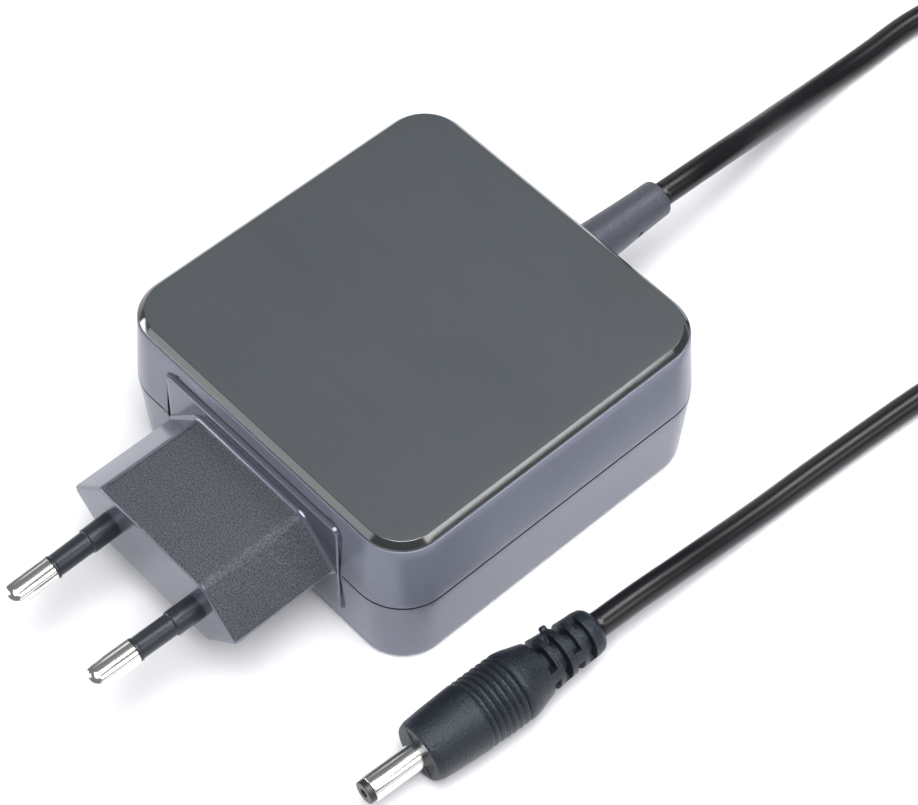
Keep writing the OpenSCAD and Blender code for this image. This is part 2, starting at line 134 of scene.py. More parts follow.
def oblong(half_width, half_height, corner, steps):
    """A rectangle about the origin with its corners rounded."""
    w, h = half_width, half_height
    return fillet([(w, h), (-w, h), (-w, -h), (w, -h)], corner, steps=steps, closed=True)


def smooth_step(t):
    """0 below t = 0 and 1 above t = 1, and between them three times t squared less two times t cubed."""
    t = np.clip(t, 0, 1)
    return t * t * (3 - 2 * t)


def smooth_route(points, steps):
    """A curve through every point: on each stretch the cubic whose slope at a point is half
    the step between its two neighbours."""
    p = np.asarray(points, float)
    p = np.vstack([2 * p[0] - p[1], p, 2 * p[-1] - p[-2]])
    t = np.linspace(0, 1, steps, endpoint=False)[:, None]
    out = [0.5 * (2 * b + (c - a) * t + (2 * a - 5 * b + 4 * c - d) * t**2 + (3 * b - a - 3 * c + d) * t**3)
           for a, b, c, d in zip(p[:-3], p[1:-2], p[2:-1], p[3:])]
    return np.vstack(out + [p[-2][None]])


def spokes(angle):
    """Unit vectors outwards and anticlockwise at an angle about the third axis."""
    c, s = math.cos(angle), math.sin(angle)
    return np.array([c, s, 0]), np.array([-s, c, 0])


# ---------------------------------------------------------------- grids into meshes
def wrapped_grid(rings, capped=True):
    """Vertices, faces and face-corner UVs of a stack of closed rings. Capped, each end is closed
    with a fan to the middle of its ring. UV is the length along and round the surface."""
    rings = np.asarray(rings, float)
    n, m = rings.shape[:2]
    i, j = np.meshgrid(np.arange(n - 1), np.arange(m), indexing="ij")
    nxt = (j + 1) % m
    quads = np.stack([i * m + j, i * m + nxt, (i + 1) * m + nxt, (i + 1) * m + j], -1).reshape(-1, 4)
    along = np.concatenate([[0], np.cumsum(np.linalg.norm(np.diff(rings.mean(1), axis=0), axis=1)
                                           + np.abs(np.diff(np.ptp(rings, axis=1).max(-1))) / 2)])
    widest = rings[int(np.argmax(np.ptp(rings, axis=1).sum(-1)))]
    around = np.concatenate([[0], np.cumsum(np.linalg.norm(np.roll(widest, -1, 0) - widest, axis=1))])
    uv = np.stack([np.stack([along[i], around[j]], -1), np.stack([along[i], around[j + 1]], -1),
                   np.stack([along[i + 1], around[j + 1]], -1), np.stack([along[i + 1], around[j]], -1)], 2)
    verts, faces, uvs = [rings.reshape(-1, 3)], [quads], [uv.reshape(-1, 2)]
    count = n * m
    for row in (0, n - 1) if capped else ():
        verts.append(rings[row].mean(0)[None])
        k = np.arange(m)
        near, far = row * m + k, row * m + (k + 1) % m
        faces.append(np.stack([*((far, near) if row == 0 else (near, far)), np.full(m, count)], -1))
        uvs.append(np.tile([[along[row], 0.0]], (3 * m, 1)))
        count += 1
    return np.concatenate(verts), faces, np.concatenate(uvs)


def signed_volume(verts, faces):
    """Six times the volume inside the faces, negative where they point inwards."""
    total = 0.0
    for f in faces:
        p = verts[f]
        for k in range(1, p.shape[1] - 1):
            total += np.einsum("ij,ij->", p[:, 0], np.cross(p[:, k], p[:, k + 1]))
    return total


def make_piece(name, parts, body, material, stands_for, sharp=None):
    """One object from grids given in millimetres, which rides on a body and takes the place of the
    nodes it stands for. Each grid's faces are turned to point out."""
    verts, polygons, uvs, base = [], [], [], 0
    for v, faces, uv in parts:
        if signed_volume(v, faces) < 0:
            flipped, at = [], 0
            uv = uv.copy()
            for f in faces:
                size = f.shape[1]
                block = uv[at:at + f.size].reshape(-1, size, 2)[:, ::-1]
                uv[at:at + f.size] = block.reshape(-1, 2)
                at += f.size
                flipped.append(f[:, ::-1])
            faces = flipped
        verts.append(v)
        polygons += [(f + base).tolist() for f in faces]
        uvs.append(uv)
        base += len(v)
    mesh = bpy.data.meshes.new(name)
    mesh.from_pydata((np.concatenate(verts) * 0.001).tolist(), [], [p for block in polygons for p in block])
    layer = mesh.uv_layers.new(name="lengths")
    layer.data.foreach_set("uv", (np.concatenate(uvs) * 0.001).astype(np.float32).ravel())
    mesh.shade_smooth()
    if sharp is not None:
        mesh.set_sharp_from_angle(angle=math.radians(sharp))
    mesh.materials.append(material)
    obj = bpy.data.objects.new(name, mesh)
    bpy.context.scene.collection.objects.link(obj)
    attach(obj, body)
    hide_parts(*stands_for)
    return obj


def turned_part(profile, sides, place, shape=None):
    """A surface of revolution: profile is rows of (distance along the axis, radius), and sides is
    how many angles to use, or the angles. shape may change the distances and radii, as a function of
    the distances, angles and radii. place carries the part from its own axis to where it belongs."""
    profile = np.asarray(profile, float)
    angle = np.linspace(0, 2 * math.pi, sides, endpoint=False) if np.ndim(sides) == 0 else sides
    s, a = np.meshgrid(profile[:, 0], angle, indexing="ij")
    r = np.repeat(profile[:, 1][:, None], len(angle), 1)
    if shape is not None:
        s, r = shape(s, a, r)
    return wrapped_grid(place(np.stack([r * np.cos(a), r * np.sin(a), s], -1)))


def closed_loop(rings):
    """A stack of closed rings whose last ring joins its first, as round a tube's wall."""
    count = rings.shape[0] * rings.shape[1]
    verts, faces, uv = wrapped_grid(np.concatenate([rings, rings[:1]]), capped=False)
    return verts[:count], [faces[0] % count], uv


def ring_solid(profile, sides, place):
    """A closed profile of (distance along the axis, radius) turned into a ring-shaped solid."""
    a = np.linspace(0, 2 * math.pi, sides, endpoint=False)
    r, s = profile[:, 1][:, None], np.repeat(profile[:, :1], sides, 1)
    return closed_loop(place(np.stack([r * np.cos(a), r * np.sin(a), s], -1)))


# ---------------------------------------------------------------- the cord's route
NEAR = [(0, RELIEF_END, PART_Z), (0, 58, 14.1), (-0.7, 66, 12.4), (-2, 74, 9.6), (-3.5, 82, 6.6),
        (-4.6, 90, 4.2), (-5.3, 98, 2.6), (-5.5, 106, 2), (-5.5, 115.5, 2), (-4, 123, 2.4), (0.2, 129.3, 4),
        (6.5, 133.5, 6.8), (14, 135, 10.2), (23, 135, 13.4), (33, 135, 14.6), (46, 135, 14.6)]
FAR = [(45.1, -6.9, 5.4), (45.4, 2, 5.1), (45.6, 10, 4.2), (45.7, 19, 3), (45.9, 28, 2.2), (46.2, 37, 2),
       (46.8, 48, 2), (47.6, 60, 2), (48.7, 68.4, 2), (52, 76.2, 2), (59.3, 85, 2), (64.1, 90, 2.2),
       (67.7, 95.8, 2.4), (70.2, 102.7, 2.6), (71, 110, 2.6)]


def coil_route(per_turn=48):
    """Turns wound clockwise about the coil's middle. Each turn keeps its radius and height, and over
    its last 50 degrees it moves smoothly to the next turn's. A change of layer also swings clear."""
    radii = [25, 21, 17, 17, 21, 25, 25, 21, 17, 17, 21, 25]
    heights = [14.6] * 3 + [10.6] * 3 + [6.6] * 3 + [2.6] * 3
    change, clear, out = 50 / 360, 1.5, []
    for k in range(12):
        part = np.arange(per_turn) / per_turn if k < 11 else np.arange(per_turn // 4 + 1) / per_turn
        after = min(k + 1, 11)
        t = smooth_step((part - (1 - change)) / change)
        swing = 0 if heights[after] == heights[k] else (clear if radii[k] > 20 else -clear)
        r = radii[k] + (radii[after] - radii[k]) * t + swing * np.sin(math.pi * t)
        a = math.pi / 2 - 2 * math.pi * part
        out.append(np.column_stack([COIL_X + r * np.cos(a), COIL_Y + r * np.sin(a),
                                    heights[k] + (heights[after] - heights[k]) * t]))
    return np.vstack(out)


def tube(path, radius, sides=18):
    """A circle carried along a path. The circle's first axis is the last one's, made square to the
    new direction, so the surface doesn't twist. Both ends are closed flat."""
    path = np.asarray(path, float)
    ahead = np.gradient(path, axis=0)
    ahead /= np.linalg.norm(ahead, axis=1)[:, None]
    side = np.empty_like(path)
    side[0] = np.cross(ahead[0], [0, 0, 1])
    side[0] /= np.linalg.norm(side[0])
    for i in range(1, len(path)):
        v = side[i - 1] - ahead[i] * (side[i - 1] @ ahead[i])
        side[i] = v / np.linalg.norm(v)
    up = np.cross(side, ahead)
    a = np.linspace(0, 2 * math.pi, sides, endpoint=False)[None, :, None]
    rings = path[:, None] + radius * (np.cos(a) * side[:, None] + np.sin(a) * up[:, None])
    return wrapped_grid(rings)


# ---------------------------------------------------------------- shader groups
def new_group(name, inputs, outputs):
    """An empty shader group with its sockets; inputs are (name, type, value), outputs (name, type)."""
    group = bpy.data.node_groups.new(name, "ShaderNodeTree")
    for label, kind, value in inputs:
        group.interface.new_socket(label, in_out="INPUT", socket_type=kind).default_value = value
    for label, kind in outputs:
        group.interface.new_socket(label, in_out="OUTPUT", socket_type=kind)
    return group, group.nodes.new("NodeGroupInput"), group.nodes.new("NodeGroupOutput")


def add_node(tree, kind, links=(), **settings):
    """A node with its settings; links are (input name or number, source socket or value)."""
    node = tree.nodes.new(kind)
    for key, value in settings.items():
        setattr(node, key, value)
    for socket, source in links:
        if isinstance(source, bpy.types.NodeSocket):
            tree.links.new(source, node.inputs[socket])
        else:
            node.inputs[socket].default_value = source
    return node


def add_mix(tree, share, first, second, **settings):
    """A mix of two colours, each a source socket or a value; gives the mixed colour's socket."""
    return add_node(tree, "ShaderNodeMix", [(0, share), (6, first), (7, second)], data_type="RGBA",
                    **settings).outputs[2]


def close_group(group, out, **results):
    """Joins each result to the group output of its name."""
    for label, source in results.items():
        group.links.new(source, out.inputs[label])
    return group


VEC, NUM, COL = "NodeSocketVector", "NodeSocketFloat", "NodeSocketColor"


def build_grain():
    """Moulded plastic: fine pits give the height, broad clouds mix the two colours, and long soft
    smears move the roughness between its two values."""
    group, given, out = new_group(
        "moulded grain",
        [("Place", VEC, (0, 0, 0)), ("Pits per metre", NUM, 3000.0), ("Colour", COL, (0.1, 0.1, 0.1, 1)),
         ("Cloud colour", COL, (0.1, 0.1, 0.1, 1)), ("Low roughness", NUM, 0.3), ("High roughness", NUM, 0.4),
         ("Speckle", NUM, 0.0)],
        [("Colour", COL), ("Roughness", NUM), ("Height", NUM)])
    pits = add_node(group, "ShaderNodeTexNoise", [("Vector", given.outputs["Place"]),
                    ("Scale", given.outputs["Pits per metre"]), ("Detail", 3.0), ("Roughness", 0.6)])
    clouds = add_node(group, "ShaderNodeTexNoise", [("Vector", given.outputs["Place"]), ("Scale", 45.0),
                      ("Detail", 4.0)])
    stretched = add_node(group, "ShaderNodeMapping", [("Vector", given.outputs["Place"]),
                         ("Rotation", (0.3, 0.2, 0.6)), ("Scale", (60.0, 420.0, 160.0))])
    smears = add_node(group, "ShaderNodeTexNoise", [("Vector", stretched.outputs[0]), ("Scale", 1.0),
                      ("Detail", 5.0), ("Roughness", 0.65)])
    soft = add_node(group, "ShaderNodeMapRange", [("Value", clouds.outputs["Fac"]), ("From Min", 0.35),
                    ("From Max", 0.65)])
    mixed = add_mix(group, soft.outputs[0], given.outputs["Colour"], given.outputs["Cloud colour"])
    dots = add_node(group, "ShaderNodeMapRange", [("Value", pits.outputs["Fac"]), ("From Min", 0.3),
                    ("From Max", 0.7), ("To Min", -1.0), ("To Max", 1.0)])
    gain = add_node(group, "ShaderNodeMath", [(0, dots.outputs[0]), (1, given.outputs["Speckle"])],
                    operation="MULTIPLY")
    gain = add_node(group, "ShaderNodeMath", [(0, gain.outputs[0]), (1, 1.0)], operation="ADD")
    grey = add_node(group, "ShaderNodeCombineColor", [(0, gain.outputs[0]), (1, gain.outputs[0]),
                    (2, gain.outputs[0])])
    speckled = add_mix(group, 1.0, mixed, grey.outputs[0], blend_type="MULTIPLY")
    rough = add_node(group, "ShaderNodeMapRange", [("Value", smears.outputs["Fac"]), ("From Min", 0.3),
                     ("From Max", 0.75), ("To Min", given.outputs["Low roughness"]),
                     ("To Max", given.outputs["High roughness"])])
    return close_group(group, out, Colour=speckled, Roughness=rough.outputs[0], Height=pits.outputs["Fac"])


def build_turned():
    """Drawn or turned metal: fine rings across one axis in the height, and a cloudy tarnish that
    darkens the colour and roughens it."""
    group, given, out = new_group(
        "turned metal",
        [("Place", VEC, (0, 0, 0)), ("Ring scale", VEC, (300, 9000, 300)),
         ("Colour", COL, (0.8, 0.8, 0.8, 1)), ("Tarnish", COL, (0.6, 0.58, 0.55, 1)),
         ("Low roughness", NUM, 0.12), ("High roughness", NUM, 0.3)],
        [("Colour", COL), ("Roughness", NUM), ("Height", NUM)])
    scaled = add_node(group, "ShaderNodeVectorMath", [(0, given.outputs["Place"]),
                      (1, given.outputs["Ring scale"])], operation="MULTIPLY")
    rings = add_node(group, "ShaderNodeTexNoise", [("Vector", scaled.outputs[0]), ("Scale", 1.0),
                     ("Detail", 2.0)])
    clouds = add_node(group, "ShaderNodeTexNoise", [("Vector", given.outputs["Place"]), ("Scale", 420.0),
                      ("Detail", 6.0), ("Roughness", 0.65)])
    mask = add_node(group, "ShaderNodeMapRange", [("Value", clouds.outputs["Fac"]), ("From Min", 0.5),
                    ("From Max", 0.8)])
    mixed = add_mix(group, mask.outputs[0], given.outputs["Colour"], given.outputs["Tarnish"])
    rough = add_node(group, "ShaderNodeMapRange", [("Value", clouds.outputs["Fac"]), ("From Min", 0.35),
                     ("From Max", 0.8), ("To Min", given.outputs["Low roughness"]),
                     ("To Max", given.outputs["High roughness"])])
    return close_group(group, out, Colour=mixed, Roughness=rough.outputs[0], Height=rings.outputs["Fac"])


def build_lines():
    """Parallel ridges along one coordinate, as on woven strap, wound wire or stacked sheet: a
    sine of the coordinate, softened by noise, that gives a mask and a height."""
    group, given, out = new_group(
        "fine lines",
        [("Place", VEC, (0, 0, 0)), ("Across", VEC, (1, 0, 0)), ("Lines per metre", NUM, 2000.0),
         ("Wander", NUM, 0.15)],
        [("Mask", NUM), ("Height", NUM)])
    noise = add_node(group, "ShaderNodeTexNoise", [("Vector", given.outputs["Place"]), ("Scale", 900.0)])
    run = add_node(group, "ShaderNodeVectorMath", [(0, given.outputs["Place"]),
                   (1, given.outputs["Across"])], operation="DOT_PRODUCT")
    turns = add_node(group, "ShaderNodeMath", [(0, run.outputs["Value"]),
                     (1, given.outputs["Lines per metre"])], operation="MULTIPLY")
    shift = add_node(group, "ShaderNodeMath", [(0, noise.outputs["Fac"]), (1, given.outputs["Wander"])],
                     operation="MULTIPLY")
    phase = add_node(group, "ShaderNodeMath", [(0, turns.outputs[0]), (1, shift.outputs[0])],
                     operation="ADD")
    angle = add_node(group, "ShaderNodeMath", [(0, phase.outputs[0]), (1, 2 * math.pi)],
                     operation="MULTIPLY")
    wave = add_node(group, "ShaderNodeMath", [(0, angle.outputs[0])], operation="SINE")
    mask = add_node(group, "ShaderNodeMapRange", [("Value", wave.outputs[0]), ("From Min", -1.0)])
    return close_group(group, out, Mask=mask.outputs[0], Height=mask.outputs[0])


GRAIN, TURNED, LINES = build_grain(), build_turned(), build_lines()


# ---------------------------------------------------------------- materials
def new_material(name, ior=1.5, metallic=0.0, coat=0.0):
    """A material with its Principled shader, and the object coordinates that patterns read."""
    material = bpy.data.materials.new(name)
    material.use_nodes = True
    tree = material.node_tree
    shader = tree.nodes["Principled BSDF"]
    shader.inputs["IOR"].default_value = ior
    shader.inputs["Metallic"].default_value = metallic
    shader.inputs["Coat Weight"].default_value = coat
    shader.inputs["Coat Roughness"].default_value = 0.12
    return material, tree, shader, tree.nodes.new("ShaderNodeTexCoord")


def place_group(tree, shader, group, values, bump, reach=0.0002):
    """Puts a group into a material with its own values and joins it to the shader."""
    node = add_node(tree, "ShaderNodeGroup", values.items(), node_tree=group)
    tree.links.new(node.outputs["Colour"], shader.inputs["Base Color"])
    tree.links.new(node.outputs["Roughness"], shader.inputs["Roughness"])
    add_bump(tree, shader, node.outputs["Height"], bump, reach)
    return node


def add_bump(tree, shader, height, strength, reach):
    """A bump on the shader's normal, over any bump that is there already."""
    bump = add_node(tree, "ShaderNodeBump", [("Height", height), ("Strength", strength), ("Distance", reach)])
    before = shader.inputs["Normal"].links
    if before:
        tree.links.new(before[0].from_socket, bump.inputs["Normal"])
    tree.links.new(bump.outputs[0], shader.inputs["Normal"])


def moulded(name, colour, cloud, low, high, pits, bump, speckle, ior=1.5, coat=0.0, tint=(1, 1, 1)):
    """A moulded plastic or rubber with its own grain: its colour and the colour of its clouds, its
    least and greatest roughness, pits per metre, how strong pits and speckle are, and the tint of
    its reflections."""
    material, tree, shader, coords = new_material(name, ior=ior, coat=coat)
    shader.inputs["Specular Tint"].default_value = (*tint, 1)
    place_group(tree, shader, GRAIN,
                {"Place": coords.outputs["Object"], "Pits per metre": pits, "Colour": (*colour, 1),
                 "Cloud colour": (*cloud, 1), "Low roughness": low, "High roughness": high,
                 "Speckle": speckle}, bump)
    return material


def metal(name, colour, tarnish, low, high, rings=(300, 9000, 300), bump=0.12):
    """A bare or plated metal with turning marks and a little tarnish; rings is how fine they are
    along each axis."""
    material, tree, shader, coords = new_material(name, metallic=1.0)
    place_group(tree, shader, TURNED,
                {"Place": coords.outputs["Object"], "Ring scale": rings, "Colour": (*colour, 1),
                 "Tarnish": (*tarnish, 1), "Low roughness": low, "High roughness": high}, bump, 0.0001)
    return material


def ridged(name, colour, between, low, high, across, per_metre, bump, coordinate="Object"):
    """A material in fine parallel ridges along one direction, over the grain; between is a darker colour
    painted into the hollows, as painted shade where the ridges shade one another."""
    material, tree, shader, coords = new_material(name)
    grain = place_group(tree, shader, GRAIN,
                        {"Place": coords.outputs["Object"], "Colour": (*colour, 1),
                         "Cloud colour": (*colour, 1), "Low roughness": low, "High roughness": high,
                         "Speckle": 0.08}, 0.1)
    lines = add_node(tree, "ShaderNodeGroup", [("Place", coords.outputs[coordinate]), ("Across", across),
                     ("Lines per metre", per_metre)], node_tree=LINES)
    # Painted shade: the hollows, where the height is low, take the darker colour.
    mixed = add_mix(tree, lines.outputs["Mask"], (*between, 1), grain.outputs["Colour"])
    tree.links.new(mixed, shader.inputs["Base Color"])
    add_bump(tree, shader, lines.outputs["Height"], bump, 0.0003)
    return material


LILAC, SKY = (0.76, 0.79, 1.0), (0.82, 0.91, 1.0)     # tints of reflections
shell_plastic = moulded("shell plastic", (0.122, 0.130, 0.166), (0.114, 0.122, 0.157), 0.22, 0.27,
                        5200, 0.04, 0.03, ior=1.52, tint=LILAC)
# Painted shade: near black, for the shadow in the gap between the shells and round their openings.
painted_gap_shade = moulded("painted gap shade", (0.008, 0.008, 0.010), (0.006, 0.006, 0.008), 0.5, 0.6,
                       5200, 0.05, 0.03, ior=1.3)
cover_plastic = moulded("cover plastic", (0.033, 0.039, 0.045), (0.030, 0.036, 0.041), 0.40, 0.50,
                        6500, 0.22, 0.05)
cover_bevel = moulded("cover bevel", (0.012, 0.013, 0.014), (0.010, 0.011, 0.012), 0.10, 0.16,
                      6500, 0.03, 0.02, ior=2.0)
head_grain = moulded("head grain", (0.028, 0.034, 0.042), (0.024, 0.029, 0.037), 0.40, 0.50,
                     4400, 0.6, 1.5)
head_smooth = moulded("head smooth", (0.064, 0.068, 0.084), (0.058, 0.062, 0.077), 0.18, 0.23,
                      5200, 0.04, 0.04, ior=2.0, tint=LILAC)
sleeve_plastic = moulded("sleeve plastic", (0.012, 0.014, 0.018), (0.016, 0.018, 0.022), 0.26, 0.34,
                         4200, 0.15, 0.08, ior=1.42, tint=SKY)
relief_plastic = moulded("relief plastic", (0.044, 0.047, 0.057), (0.038, 0.041, 0.050), 0.34, 0.44,
                         2600, 0.5, 0.2, ior=1.6, tint=LILAC)
plug_plastic = moulded("plug plastic", (0.010, 0.013, 0.018), (0.007, 0.009, 0.013), 0.32, 0.44,
                       2900, 0.75, 0.5, ior=1.42, tint=SKY)
tip_plastic = moulded("tip plastic", (0.012, 0.012, 0.013), (0.016, 0.016, 0.017), 0.30, 0.40,
                      4200, 0.20, 0.10)
cord_jacket = moulded("cord jacket", (0.003, 0.003, 0.004), (0.005, 0.005, 0.006), 0.28, 0.33,
                      1800, 0.02, 0.10, ior=1.42)
nickel = metal("bright nickel", (0.84, 0.83, 0.80), (0.76, 0.75, 0.71), 0.13, 0.18, bump=0.015)
satin_nickel = metal("satin nickel", (0.72, 0.72, 0.70), (0.64, 0.64, 0.62), 0.16, 0.22, bump=0.04)
tie_strap = ridged("tie strap", (0.035, 0.036, 0.040), (0.012, 0.012, 0.014), 0.6, 0.8, (1, 0, 0),
                   1400.0, 0.6, coordinate="UV")


# ---------------------------------------------------------------- housing shells
def opening_path(half_x, half_z, corner, sign):
    """Half of a window's edge, as (x, height from the parting line): out along the parting line,
    round one corner, along the far edge and back. sign is +1 for the upper half."""
    c = half_x - corner
    arc = np.linspace(0, math.pi / 2, 7)
    side = np.linspace(0, half_z - corner, 6)[:-1]
    right = np.vstack([np.column_stack([np.full(5, half_x), side]),
                       np.column_stack([c + corner * np.cos(arc), half_z - corner + corner * np.sin(arc)])])
    flat = np.column_stack([np.linspace(c, -c, 14)[1:-1], np.full(12, half_z)])
    path = np.vstack([right, flat, right[::-1] * [-1, 1]])
    path[:, 1] *= sign
    return path


def shell_ring(sign, t, ease, depth, closed_z, lean):
    """One closed loop round a shell's wall. At t 0 it runs along the parting line and round the edges
    of the window and the cord hole, moved ease into the wall's face; at t 1 it lies at closed_z all
    round, and between them it is a straight mix. depth is how far it lies inside the outer face, and
    the wall's own radius shrinks by lean for each millimetre away from the parting line."""
    a = np.linspace(0, math.pi, 17)
    front = np.vstack([[[22.3, 0], [20.4, 0]], opening_path(*WINDOW, sign), [[-20.4, 0], [-22.3, 0]]])
    hole = CORD_HOLE_R * np.column_stack([np.cos(a), sign * np.sin(a)])
    back = np.vstack([[[18, 0], [12, 0], [7.5, 0], [5, 0]], hole, [[-5, 0], [-7.5, 0], [-12, 0], [-18, 0]]])
    walls = []
    for path in (front, back):
        step = np.linalg.norm(np.diff(path, axis=0), axis=1)
        share = np.concatenate([[0], np.cumsum(step)]) / step.sum()
        ahead = np.gradient(path, axis=0)
        away = np.column_stack([ahead[:, 1], -ahead[:, 0]]) / np.linalg.norm(ahead, axis=1)[:, None] * sign
        away[0] = away[-1] = (0, sign)
        path = path + away * ease
        x = (1 - t) * path[:, 0] + t * path[0, 0] * (1 - 2 * share)
        z = PART_Z + (1 - t) * path[:, 1] + t * (closed_z - PART_Z)
        walls.append((x, z, ARC + R_PART - depth - lean * np.abs(z - PART_Z)))
    z = PART_Z + (1 - t) * sign * ease + t * (closed_z - PART_Z)
    r = R_PART - depth - lean * abs(z - PART_Z)
    turn = np.linspace(0, math.pi / 2, 17)
    side = np.linspace(-ARC, ARC, 15)[1:-1]
    c, s = r * np.cos(turn), r * np.sin(turn)
    level = lambda v: np.full(len(v), z)
    (fx, fz, fy), (bx, bz, by) = walls
    return np.vstack([
        np.column_stack([np.full(len(side), ARC + r), side, level(side)]),
        np.column_stack([ARC + c, ARC + s, level(c)]), np.column_stack([bx, by, bz]),
        np.column_stack([-ARC - s, ARC + c, level(c)]),
        np.column_stack([np.full(len(side), -ARC - r), -side, level(side)]),
        np.column_stack([-ARC - c, -ARC - s, level(c)]), np.column_stack([-fx, -fy, fz]),
        np.column_stack([ARC + s, -ARC - c, level(c)])])


def closing_rings(last, steps):
    """Rings that carry on from the last one over a floor or roof: (height, inset, share of the way in)."""
    size = np.abs(last[:, :2]).max()
    return [np.column_stack([last[:, :2] * ((size - inset) / size * (1 - share)), np.full(len(last), z)])
            for z, inset, share in steps]


def make_shell(name, sign, lean, outer_z, inner_z, outer_close, node):
    """One shell as a single closed surface: middle of the outer floor or roof, outer wall, rounded rim
    along the parting line and the openings, inner wall, middle of the inner floor or roof. The rim
    and the inner wall are painted near black: painted shade for the shadow in the gap between two parts."""
    outer = [shell_ring(sign, t, RIM, 0, outer_z, lean) for t in np.linspace(1, 0, 10)]
    edge = [shell_ring(sign, 0, RIM * (1 - math.sin(a)), RIM * (1 - math.cos(a)), outer_z, lean)
            for a in np.linspace(0, math.pi / 2, 6)[1:]]
    inner = [shell_ring(sign, t, 0, WALL, inner_z, lean) for t in np.linspace(0, 1, 6)]
    middle = closing_rings(inner[-1], [(inner_z, 0, s) for s in (0.3, 0.7, 0.95)])
    rings = closing_rings(outer[0], outer_close)[::-1] + outer + edge + inner + middle
    shell = make_piece(name, [wrapped_grid(np.stack(rings))], HOUSING, shell_plastic, [node],
                       sharp=35)
    index = np.zeros(len(shell.data.polygons), np.int32)
    # The rim and inner wall faces get the painted gap shade instead of the shell plastic.
    shell.data.materials.append(painted_gap_shade)
    per_ring, first = len(rings[0]), len(outer_close) + len(outer)
    index[first * per_ring:(first + len(edge) + len(inner) - 1) * per_ring] = 1
    shell.data.polygons.foreach_set("material_index", index)


def make_shells():
    """The lower shell, with its bottom edge rounded by 1 mm, and the upper shell under the cover."""
    floor = [(1.0 - math.sin(a), 1.0 - math.cos(a), 0) for a in np.linspace(0, math.pi / 2, 7)[1:]]
    floor += [(0, 1.0, s) for s in (0.01, 0.05, 0.2, 0.45, 0.7, 0.95)]
    make_shell("lower_shell_skin", -1, LOWER_LEAN, 1.0, WALL, floor, "lower_shell")
    roof = [(ROOF_Z - 0.06, 0.04, 0)] + [(ROOF_Z, 0.16, s) for s in (0, 0.01, 0.04, 0.3, 0.6, 0.95)]
    make_shell("upper_shell_skin", 1, UPPER_LEAN, ROOF_Z - 0.2, 25.55, roof, "upper_shell")


# ---------------------------------------------------------------- cover
def paint(obj, material, chosen):
    """Gives the faces for which chosen(centres in mm, normals) is true another material."""
    mesh = obj.data
    count = len(mesh.polygons)
    centres, normals = np.zeros(count * 3, np.float32), np.zeros(count * 3, np.float32)
    mesh.polygons.foreach_get("center", centres)
    mesh.polygons.foreach_get("normal", normals)
    index = np.zeros(count, np.int32)
    mesh.polygons.foreach_get("material_index", index)
    mesh.materials.append(material)
    index[chosen(centres.reshape(-1, 3) * 1000, normals.reshape(-1, 3))] = len(mesh.materials) - 1
    mesh.polygons.foreach_set("material_index", index)


def level_ring(half, z, share=1.0):
    """The housing's outline with the given half width, drawn in to a share of its size, at height z."""
    ring = square_outline(half, half - ARC) * share
    return np.column_stack([ring, np.full(len(ring), z)])


def make_cover():
    """Flat plate, upright strip and 45 degree bevel in one profile of (height, half width)."""
    under, flat = COVER_HALF - 0.6, 27.5
    profile = fillet([(COVER_LOW, under), (COVER_LOW, COVER_HALF), (COVER_TOP - COVER_BEVEL, COVER_HALF),
                      (COVER_TOP, COVER_HALF - COVER_BEVEL), (COVER_TOP, flat)],
                     [0, 0.10, 0.16, 0.14, 0], steps=4)
    rings = [level_ring(under, COVER_LOW, k) for k in (0.1, 0.4, 0.7)]
    rings += [level_ring(half, z) for z, half in profile]
    rings += [level_ring(flat, COVER_TOP, k) for k in (0.8, 0.55, 0.3, 0.12)]
    obj = make_piece("cover_plate", [wrapped_grid(np.stack(rings))], HOUSING, cover_plastic, ["top_cover"],
                     sharp=30)
    paint(obj, cover_bevel, lambda c, n: (np.abs(n[:, 2]) < 0.97) & (c[:, 2] > COVER_LOW + 0.08))


# ---------------------------------------------------------------- mains head
def plug_outline(extra):
    """The six-sided section of the plug body, corners rounded: soft above, crisp below."""
    w, f, h = 17.65 + extra, 11.1 + extra * 0.6, 6.85 + extra
    pts = [(w, 0.35), (f, h), (-f, h), (-w, 0.35), (-w, -0.35), (-f, -h), (f, -h), (w, -0.35)]
    return fillet(pts, [0.35, 2.6, 2.0, 0.35, 0.35, 1.6, 1.6, 0.35], steps=8, closed=True)


def plate_outline(inset):
    """The face plate's rounded rectangle."""
    return oblong(18.4 - inset, 9.8 - inset, 1.3 - inset * 0.6, steps=9)


def front_stack(outline, profile, behind, ahead):
    """A solid along -Y about the head's axis: the outline at each (distance, inset) of the profile, and
    each end filled by copies of its last ring drawn in to the given shares."""
    flat = [(outline(inset), distance) for distance, inset in profile]
    rings = np.stack([np.column_stack([ring[:, 0], np.full(len(ring), -distance), ring[:, 1] + PART_Z])
                      for ring, distance in flat])

    def drawn_in(ring, shares):
        middle = np.array([0, ring[0, 1], PART_Z])
        return np.stack([middle + (ring - middle) * k for k in shares])
    return wrapped_grid(np.concatenate([drawn_in(rings[0], behind), rings, drawn_in(rings[-1], ahead)]))


